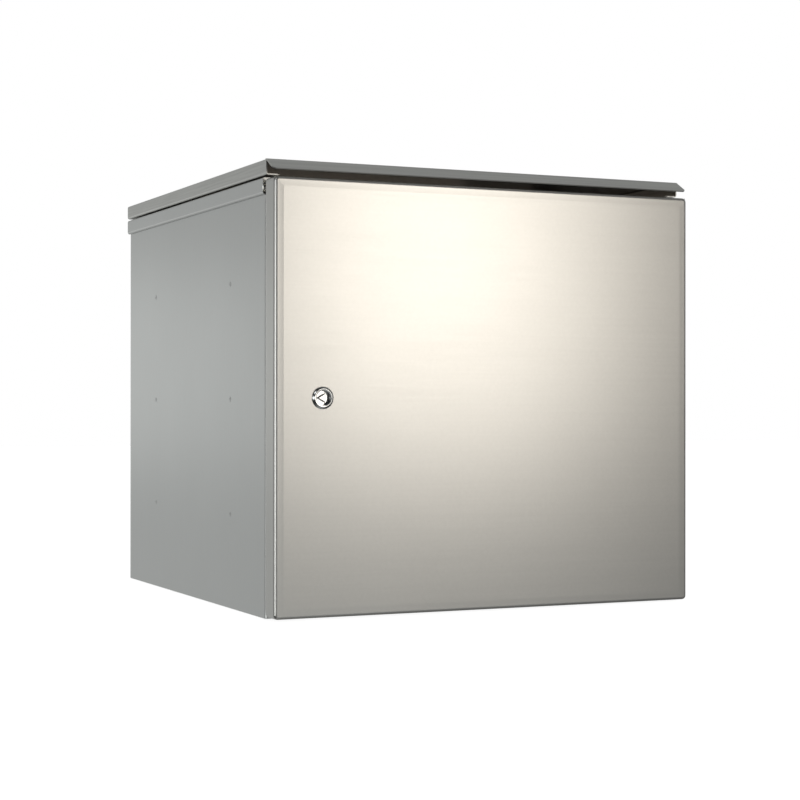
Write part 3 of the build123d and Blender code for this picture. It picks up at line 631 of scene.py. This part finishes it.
# ----------------------------------------------------------------------------- the lock
def make_lock():
    """Bezel, flat ring and deep recess of the housing, and the turning triangle."""
    low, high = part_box("lock_housing")
    axis = Vector(((low.x + high.x) / 2, 0, (low.z + high.z) / 2))
    back, front = high.y, low.y
    outer = (high.x - low.x) / 2
    shank = 11.0 * mm
    seal = 1.0 * mm
    recess = 9.4 * mm
    land = 11.5 * mm
    bezel_height = 1.9 * mm
    floor = door_face + 4.0 * mm
    bore = 6.05 * mm
    thread_depth = 0.5 * mm
    thread_turns = 14
    eased = 0.15 * mm

    def at(y):
        return back - y

    rings = [circle(bore, 0), circle(shank - thread_depth, 0), circle(shank, thread_depth)]
    first_turn = 1.0 * mm
    last_turn = at(door_face + 2 * mm)
    for turn in range(thread_turns):
        height = first_turn + turn * (last_turn - first_turn) / thread_turns
        rings += [circle(shank, height), circle(shank - thread_depth, height + 0.6 * mm)]
    rings += [
        circle(shank, at(door_face)),
        circle(shank, at(door_face - seal)),
        circle(outer - eased, at(door_face - seal)),
        circle(outer, at(door_face - seal) + eased),
    ]
    for step in range(9):  # the bezel, a slightly convex cone
        share = step / 8
        rise = bezel_height * share * (1.35 - 0.35 * share)
        rings.append(circle(outer - (outer - land) * share, at(front + bezel_height) + rise))
    rings += [
        circle(land - 0.2 * mm, at(front)),
        circle(recess + 0.35 * mm, at(front)),
        circle(recess + 0.1 * mm, at(front) - 0.1 * mm),
        circle(recess, at(front) - 0.35 * mm),
        circle(recess, at(floor)),
        circle(bore, at(floor)),
    ]
    work = bmesh.new()
    turned(work, upward("-Y", axis + Vector((0, back, 0))), rings, segments=96, loop=True)
    finish_piece(work, "lock_head", "door", "lock_chrome", replaced=["lock_housing"])

    low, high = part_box("lock_seal")
    work = bmesh.new()
    base = upward("-Y", axis + Vector((0, high.y, 0)))
    washer(work, base, (high.x - low.x) / 2, shank, high.y - low.y)
    finish_piece(work, "lock_seal_ring", "door", "black_rubber", replaced=["lock_seal"])

    low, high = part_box("lock_driver")
    back, front = high.y, low.y
    plate = door_face + 3.2 * mm
    shaft = 6.0 * mm
    corner = 6.0 * mm
    hub = 3.9 * mm
    hub_height = 3.0 * mm
    gap = 0.05 * mm  # between the plate and the recess
    chamfer = 0.35 * mm

    def triangle(size, height):
        """Ring on a triangle with one corner toward -X and slightly eased corners."""

        def ring(angle):
            turn = (angle + pi + pi / 3) % (2 * pi / 3) - pi / 3
            return min(size / 2 / cos(pi / 3 - abs(turn)), size * 0.96), height

        return ring

    rings = [
        circle(3.05 * mm, 0),
        circle(hub, 0),
        circle(hub, hub_height),
        circle(shaft, hub_height),
        circle(shaft, back - floor),
        circle(recess - gap, back - floor + 0.1 * mm),
        circle(recess - gap, back - plate - chamfer),
        circle(recess - gap - chamfer, back - plate),
        triangle(corner * 1.08, back - plate),
        triangle(corner, back - plate + 0.15 * mm),
        triangle(corner, back - front - chamfer),
        triangle(corner * 0.93, back - front),
        circle(0.05 * mm, back - front),
    ]
    work = bmesh.new()
    turned(work, upward("-Y", axis + Vector((0, back, 0))), rings, segments=96)
    finish_piece(work, "lock_triangle", "lock", "lock_chrome", replaced=["lock_driver"])


# --------------------------------------------------------------------------- door gasket
def rounded_loop(half_x, half_z, radius, steps):
    """Points and outward normals round a rounded rectangle in X and Z."""
    made = []
    for corner, (sx, sz) in enumerate(((1, 1), (-1, 1), (-1, -1), (1, -1))):
        for step in range(steps + 1):
            angle = pi / 2 * (corner + step / steps)
            way = Vector((cos(angle), 0, sin(angle)))
            middle = Vector((sx * (half_x - radius), 0, sz * (half_z - radius)))
            made.append((middle + way * radius, way))
    return made


def make_gasket():
    """Poured foam bead with a crowned back, in one loop."""
    low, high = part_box("door_gasket")
    width = 14.0 * mm
    depth = high.y - low.y
    centre = (low + high) / 2
    half_x = (high.x - low.x) / 2 - width / 2
    half_z = (high.z - low.z) / 2 - width / 2
    shoulder = 0.22  # of the depth, where the crown begins
    crown_steps = 14
    crown = [pi - pi * step / crown_steps for step in range(1, crown_steps)]
    section = [(-0.5, 0.0), (-0.5, shoulder)]
    section += [(0.5 * cos(angle), shoulder + (1 - shoulder) * sin(angle)) for angle in crown]
    section += [(0.5, shoulder), (0.5, 0.0)]
    work = bmesh.new()
    rows = []
    for point, way in rounded_loop(half_x, half_z, 8.0 * mm, 10):
        base = Vector((centre.x, low.y, centre.z)) + point
        row = []
        for across, up in section:
            place = base + way * across * width + Vector((0, up * depth, 0))
            row.append(work.verts.new(place))
        rows.append(row)
    for row, after in zip(rows, rows[1:] + rows[:1]):
        for step in range(len(section)):
            follow = (step + 1) % len(section)
            work.faces.new((row[step], row[follow], after[follow], after[step]))
    finish_piece(work, "door_gasket_foam", "door", "black_rubber", replaced=["door_gasket"])


# --------------------------------------------------------------------------------- welds
def add_bead(work, start, end, radius, ripple, seed, flat=0.6):
    """Weld bead from start to end: a low tube with overlapping ripples."""
    along = end - start
    length = along.length
    forward = along.normalized()
    side = forward.orthogonal().normalized()
    up = forward.cross(side)
    count = max(8, round(length / ripple * 6))
    around = 14
    rows = []
    for step in range(count + 1):
        share = step / count
        wave = abs(sin(pi * share * length / ripple + seed))
        cap = min(1.0, (min(share, 1 - share) * length + 0.15 * radius) / radius)
        size = radius * (0.80 + 0.20 * wave) * cap**0.5 * (1 + 0.10 * sin(7.3 * share + 2.1 * seed))
        drift = 0.12 * radius * sin(5.1 * share * length / ripple + seed)
        centre = start + along * share + side * drift
        row = []
        for turn in range(around):
            angle = 2 * pi * turn / around
            place = centre + side * size * cos(angle) + up * size * flat * sin(angle)
            row.append(work.verts.new(place))
        rows.append(row)
    for row, after in zip(rows, rows[1:]):
        for turn in range(around):
            follow = (turn + 1) % around
            work.faces.new((row[turn], row[follow], after[follow], after[turn]))
    work.faces.new(rows[0])
    work.faces.new(rows[-1])


def make_welds():
    """Lumpy beads that close the top tray's folds at the front, and smaller ones on the
    roof's hems and the door's upper corners."""
    lump = 2.6 * mm
    lumps = (  # how far up, share of the size, seed
        (0.20, 0.78, 0.5),
        (0.48, 0.88, 2.9),
        (0.72, 0.95, 1.2),
        (0.98, 1.00, 1.9),
    )
    flush = tray_high.x - 0.02 * mm
    work = bmesh.new()
    for side in (-1, 1):
        x = side * (tray_high.x - 1.3 * mm)
        front = tray_low.y + 1.5 * mm
        low = Vector((x, front, tray_low.z + 1.6 * mm))
        high = Vector((x, front, tray_high.z - 2.9 * mm))
        inward = Vector((-side * lump, 0, 0))
        rise = Vector((-side * 1.2 * mm, -0.2 * mm, 1.2 * mm))
        add_bead(work, low, high, 0.8 * lump, 3.6 * mm, 0.4 + side, flat=0.95)
        add_bead(work, low + inward, high + inward, 0.8 * lump, 3.1 * mm, 1.4 + side, flat=0.95)
        for share, size, seed in lumps:
            middle = low.lerp(high, share)
            ends = (middle - rise, middle + rise)
            add_bead(work, *ends, size * lump, 4.4 * mm, seed + side, flat=0.95)
    for vert in work.verts:  # ground flush with the sides
        vert.co.x = max(-flush, min(flush, vert.co.x))
    finish_piece(work, "tray_corner_welds", "cabinet", "stainless_body", weld)

    work = bmesh.new()
    hem = roof_low.z + 0.75 * mm
    for side in (-1, 1):
        inner = Vector((side * (roof_high.x - 18.4 * mm), roof_front + 0.45 * mm, hem))
        outer = inner + Vector((side * 3.6 * mm, 0, 0))
        add_bead(work, outer, inner, 1.15 * mm, 3.0 * mm, 0.9 + side, flat=1.0)
    finish_piece(work, "roof_hem_welds", "cabinet", "stainless_roof", weld)

    work = bmesh.new()
    for side in (-1, 1):
        x = side * (door_high.x - 1.6 * mm)
        corner = Vector((x, door_face + 2.4 * mm, door_high.z - 1.0 * mm))
        add_bead(work, corner, corner + Vector((0, 2.6 * mm, 0)), 0.9 * mm, 1.5 * mm, 0.3 + side)
    finish_piece(work, "door_corner_welds", "door", "stainless_door", weld)


def make_spot_welds():
    """Faint rings on the sides: two rows where the depth rails are welded inside, and a
    row half way between them."""
    work = bmesh.new()
    profile = ((0.3, 0.05), (1.3, 0.06), (2.0, 0.24), (2.5, 0.34), (3.0, 0.22), (3.6, 0.01))
    for side, rail in (("-X", "left"), ("+X", "right")):
        x = shell_low.x if side == "-X" else shell_high.x
        rows = []
        for level, drop in (("lower", spot_row_drop), ("upper", 0.0)):
            low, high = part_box(f"depth_rail_{rail}_{level}")
            rows.append((low.z + high.z) / 2 - drop)
        rows.append(sum(rows) / 2)
        for z in rows:
            for depth in spot_depths:
                at = Vector((x, door_face + depth, z))
                rings = [circle(radius * mm, height * mm) for radius, height in profile]
                turned(work, upward(side, at), rings, segments=24, close_end=False)
    finish_piece(work, "spot_weld_marks", "cabinet", "stainless_body", materials["stainless_body"])


# --------------------------------------------------------------------- floor and lights
def make_floor():
    half = 9.0
    below = -0.5 * mm  # just under the cabinet's foot
    work = bmesh.new()
    for row in (-half, half):
        for column in (-half, half):
            work.verts.new((column, row, below))
    work.verts.ensure_lookup_table()
    work.faces.new([work.verts[index] for index in (0, 1, 3, 2)])
    data = bpy.data.meshes.new("floor")
    work.to_mesh(data)
    work.free()
    floor = bpy.data.objects.new("floor", data)
    scene.collection.objects.link(floor)
    shader = Shader("floor_white", (0.93, 0.93, 0.93), 0.0, 0.9)
    shader.surface.inputs["Emission Color"].default_value = (1, 1, 1, 1)
    shader.surface.inputs["Emission Strength"].default_value = 0.85
    data.materials.append(shader.material)
    floor.visible_glossy = False


def add_softbox(name, place, target, width, height, power, color):
    data = bpy.data.lights.new(name, "AREA")
    data.shape = "RECTANGLE"
    data.size = width
    data.size_y = height
    data.energy = power
    data.color = color
    light = bpy.data.objects.new(name, data)
    light.location = place
    light.visible_camera = False
    light.rotation_euler = (Vector(target) - Vector(place)).to_track_quat("-Z", "Y").to_euler()
    scene.collection.objects.link(light)


studio_dark = 0.02
studio_glows = (  # toward, half width in degrees, brightness
    ((-0.10, 1.00, -0.10), 48, 0.53),  # wall behind
    ((1.00, 0.15, 0.05), 30, 0.40),  # wall at the right
    ((0.35, 0.45, 0.82), 38, 0.25),  # ceiling
    ((0.35, -0.60, 0.72), 24, 0.16),  # ceiling in front
    ((0.20, -0.93, -0.30), 20, 0.68),  # floor in front
    ((0.00, -0.30, -0.95), 28, 0.35),  # floor below
    ((-0.50, -0.87, 0.00), 7, 0.80),  # row of low lamps at the left
    ((-0.72, -0.69, 0.00), 8, 3.00),
    ((-0.91, -0.42, 0.00), 8, 4.50),
    ((-0.99, -0.10, 0.00), 9, 2.00),
    ((-0.60, -0.55, 0.58), 8, 3.00),  # high lamp at the left
)
room_color = (0.975, 1.0, 0.985)


def make_world():
    """White to the eye.  The metal sees a dark studio: grey walls and ceiling, a pale floor,
    and at the left a row of low lamps and one high lamp."""
    world = bpy.data.worlds.new("studio")
    scene.world = world
    world.use_nodes = True
    tree = world.node_tree
    tree.nodes.clear()
    ways = tree.nodes.new("ShaderNodeTexCoord").outputs["Generated"]
    level = studio_dark
    for way, reach, strength in studio_glows:
        dot = tree.nodes.new("ShaderNodeVectorMath")
        dot.operation = "DOT_PRODUCT"
        tree.links.new(ways, dot.inputs[0])
        dot.inputs[1].default_value = Vector(way).normalized()
        fall = math_node(tree, "SUBTRACT", dot.outputs["Value"], 1.0)
        fall = math_node(tree, "DIVIDE", fall, 1 - cos(radians(reach)))
        glow = math_node(tree, "MULTIPLY", math_node(tree, "EXPONENT", fall), strength)
        level = math_node(tree, "ADD", glow, level)
    room = tree.nodes.new("ShaderNodeBackground")
    room.inputs["Color"].default_value = (*room_color, 1)
    tree.links.new(level, room.inputs["Strength"])
    seen = tree.nodes.new("ShaderNodeBackground")
    seen.inputs["Color"].default_value = (1, 1, 1, 1)
    mix = tree.nodes.new("ShaderNodeMixShader")
    path = tree.nodes.new("ShaderNodeLightPath")
    output = tree.nodes.new("ShaderNodeOutputWorld")
    tree.links.new(path.outputs["Is Camera Ray"], mix.inputs["Fac"])
    tree.links.new(room.outputs["Background"], mix.inputs[1])
    tree.links.new(seen.outputs["Background"], mix.inputs[2])
    tree.links.new(mix.outputs["Shader"], output.inputs["Surface"])


def make_lights():
    """Softbox seen by the door, one behind at the left seen by the side, and the little
    light that finds its way in under the rain roof."""
    for middle, width, power in ((-0.06, 0.44, 0.0060), (0.22, 0.12, 0.0006)):
        add_softbox(
            "under_roof",
            place=(middle, door_face + 0.40, under_roof_z),
            target=(middle, door_face, under_roof_z),
            width=width,
            height=0.016,
            power=power,
            color=(1.0, 0.86, 0.72),
        )
    add_softbox(
        "key",
        place=(1.10, door_face - 2.484, 0.721),
        target=(0, door_face, 0.4),
        width=0.83,
        height=1.17,
        power=9.4,
        color=(1.0, 0.94, 0.85),
    )
    add_softbox(
        "side_glow",
        place=(-1.25, 3.0, 0.40),
        target=(-0.297, 0.05, 0.33),
        width=1.0,
        height=0.6,
        power=0.55,
        color=(0.97, 1.0, 0.98),
    )


scene.view_settings.view_transform = "Standard"
make_camera()
make_world()
make_floor()
make_lights()
finish_cad_nodes()
make_fasteners()
make_earth_points()
make_lock()
make_gasket()
make_welds()
make_spot_welds()
